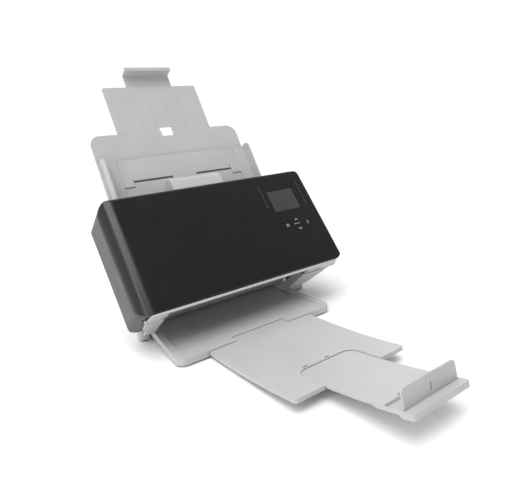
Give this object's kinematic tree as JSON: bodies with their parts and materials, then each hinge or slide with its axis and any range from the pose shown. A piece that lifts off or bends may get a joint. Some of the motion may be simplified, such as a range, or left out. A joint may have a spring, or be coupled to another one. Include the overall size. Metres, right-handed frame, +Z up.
{
  "type": "sheet fed document scanner",
  "caption": "Desktop document scanner with a sloping front cover that opens, telescoping input and output trays, paper guides, rollers and scan bars.",
  "frame": {"origin": "on the desk under the middle of the whole object, with both trays drawn out", "axes": "+Z up, -Y towards the front where paper comes out, +X to the right seen from the front"},
  "size_m": [0.334, 0.5498, 0.3696],
  "materials": {
    "light_plastic": "fine moulded texture",
    "dark_plastic": "fine moulded texture",
    "black_gloss": "satin gloss",
    "black_plastic": "fine moulded texture",
    "sheet_steel": "zinc plated",
    "rubber": "matt",
    "grey_rubber": "matt",
    "scan_glass": "clear",
    "display_glass": "polished",
    "circuit_board": "solder mask"
  },
  "bodies": {
    "base": {"base_shell": "light_plastic", "base_plate": "black_plastic", "rubber_feet": "rubber", "rear_case": "dark_plastic", "exit_cheeks": "light_plastic", "left_side_plate": "sheet_steel", "right_side_plate": "sheet_steel", "cross_bars": "sheet_steel", "lower_guide": "light_plastic", "lower_scan_module": "black_plastic", "lower_scan_glass": "scan_glass", "shaft_bushes": "black_plastic", "motor": "sheet_steel", "drive_belt": "rubber", "main_board": "circuit_board", "power_jack": "black_plastic", "usb_port": "sheet_steel", "output_tray": "light_plastic", "input_chute": "light_plastic", "chute_back_cover": "light_plastic", "case_screws": "sheet_steel", "cover_hinge_pins": "sheet_steel", "latch_strike": "sheet_steel"},
    "cover": {"front_cover": "black_gloss", "display_window": "display_glass", "display_board": "circuit_board", "cover_chin": "light_plastic", "cover_frame": "dark_plastic", "feed_module_cover": "light_plastic", "upper_scan_module": "black_plastic", "upper_scan_glass": "scan_glass"},
    "feed_roller": {"feed_shaft": "sheet_steel", "feed_tyres": "grey_rubber"},
    "drive_roller": {"drive_shaft": "sheet_steel", "drive_tyres": "grey_rubber"},
    "exit_roller": {"exit_shaft": "sheet_steel", "exit_tyres": "grey_rubber"},
    "motor_rotor": {"motor_pulley": "sheet_steel"},
    "paper_flag": {"paper_flag": "black_plastic"},
    "power_rocker": {"power_rocker": "black_plastic"},
    "left_guide": {"left_guide": "light_plastic"},
    "right_guide": {"right_guide": "light_plastic"},
    "guide_pinion": {"guide_pinion": "black_plastic"},
    "input_tray": {"input_tray": "light_plastic"},
    "input_riser": {"input_riser": "light_plastic"},
    "input_lip": {"input_lip": "light_plastic"},
    "output_extension": {"output_extension": "light_plastic"},
    "output_end": {"output_end": "light_plastic"},
    "paper_stop": {"paper_stop": "light_plastic"},
    "separation_roller": {"separation_axle": "sheet_steel", "separation_tyre": "grey_rubber"},
    "drive_idlers": {"upper_drive_idlers": "dark_plastic"},
    "exit_idlers": {"upper_exit_idlers": "dark_plastic"},
    "release_lever": {"release_lever": "black_plastic"}
  },
  "joints": [
    {"name": "cover_hinge", "type": "hinge", "parent": "base", "child": "cover", "pos_m": [0, 0.04238, 0.05407], "axis": [1, 0, 0], "range_deg": [0, 75]},
    {"name": "feed_spin", "type": "hinge", "parent": "base", "child": "feed_roller", "pos_m": [0, 0.1441, 0.13024], "axis": [1, 0, 0], "continuous": true},
    {"name": "drive_spin", "type": "hinge", "parent": "base", "child": "drive_roller", "pos_m": [0, 0.12311, 0.10797], "axis": [1, 0, 0], "continuous": true},
    {"name": "exit_spin", "type": "hinge", "parent": "base", "child": "exit_roller", "pos_m": [0, 0.09131, 0.05709], "axis": [1, 0, 0], "continuous": true},
    {"name": "motor_spin", "type": "hinge", "parent": "base", "child": "motor_rotor", "pos_m": [0, 0.14762, 0.05964], "axis": [1, 0, 0], "continuous": true},
    {"name": "paper_flag_tilt", "type": "hinge", "parent": "base", "child": "paper_flag", "pos_m": [0, 0.12917, 0.12069], "axis": [1, 0, 0], "range_deg": [0, 35], "stiffness_Nm_per_rad": 0.002, "springref_deg": -17.19},
    {"name": "power_rocker_tilt", "type": "hinge", "parent": "base", "child": "power_rocker", "pos_m": [0.032, 0.17932, 0.077], "axis": [1, 0, 0], "range_deg": [0, 16]},
    {"name": "left_guide_slide", "type": "slide", "parent": "base", "child": "left_guide", "axis": [1, 0, 0], "range_m": [0, 0.06]},
    {"name": "right_guide_slide", "type": "slide", "parent": "base", "child": "right_guide", "axis": [1, 0, 0], "range_m": [-0.06, 0]},
    {"name": "guide_pinion_spin", "type": "hinge", "parent": "base", "child": "guide_pinion", "pos_m": [-0.014, 0.17751, 0.20616], "axis": [0, -0.866, 0.5], "range_deg": [-430, 0]},
    {"name": "input_tray_slide", "type": "slide", "parent": "base", "child": "input_tray", "axis": [0, -0.5, -0.866], "range_m": [0, 0.0426]},
    {"name": "input_riser_slide", "type": "slide", "parent": "input_tray", "child": "input_riser", "axis": [0, -0.5, -0.866], "range_m": [0, 0.0788]},
    {"name": "input_lip_slide", "type": "slide", "parent": "input_riser", "child": "input_lip", "axis": [0, -0.5, -0.866], "range_m": [0, 0.02]},
    {"name": "output_extension_slide", "type": "hinge", "parent": "base", "child": "output_extension", "pos_m": [0, -0.01978, 1.1102], "axis": [1, 0, 0], "range_deg": [0, 8.54]},
    {"name": "output_end_slide", "type": "hinge", "parent": "output_extension", "child": "output_end", "pos_m": [0, -0.01978, 1.1102], "axis": [1, 0, 0], "range_deg": [0, 4.95]},
    {"name": "paper_stop_fold", "type": "hinge", "parent": "output_end", "child": "paper_stop", "pos_m": [0, -0.26173, 0.03222], "axis": [1, 0, 0], "range_deg": [-90, 0]},
    {"name": "separation_spin", "type": "hinge", "parent": "cover", "child": "separation_roller", "pos_m": [0, 0.1234, 0.14317], "axis": [1, 0, 0], "continuous": true},
    {"name": "drive_idler_spin", "type": "hinge", "parent": "cover", "child": "drive_idlers", "pos_m": [0, 0.11175, 0.11507], "axis": [1, 0, 0], "continuous": true},
    {"name": "exit_idler_spin", "type": "hinge", "parent": "cover", "child": "exit_idlers", "pos_m": [0, 0.07995, 0.06419], "axis": [1, 0, 0], "continuous": true},
    {"name": "release_lever_tilt", "type": "hinge", "parent": "cover", "child": "release_lever", "pos_m": [0, 0.12841, 0.17792], "axis": [1, 0, 0], "range_deg": [0, 12], "stiffness_Nm_per_rad": 0.3, "springref_deg": -5.73}
  ],
  "couplings": [
    {"joint": "drive_spin", "follows": "feed_spin", "ratio": 1.75},
    {"joint": "exit_spin", "follows": "feed_spin", "ratio": 1.75},
    {"joint": "motor_spin", "follows": "feed_spin", "ratio": 1.75},
    {"joint": "right_guide_slide", "follows": "left_guide_slide", "ratio": -1},
    {"joint": "guide_pinion_spin", "follows": "left_guide_slide", "rad_per_m": -125}
  ]
}
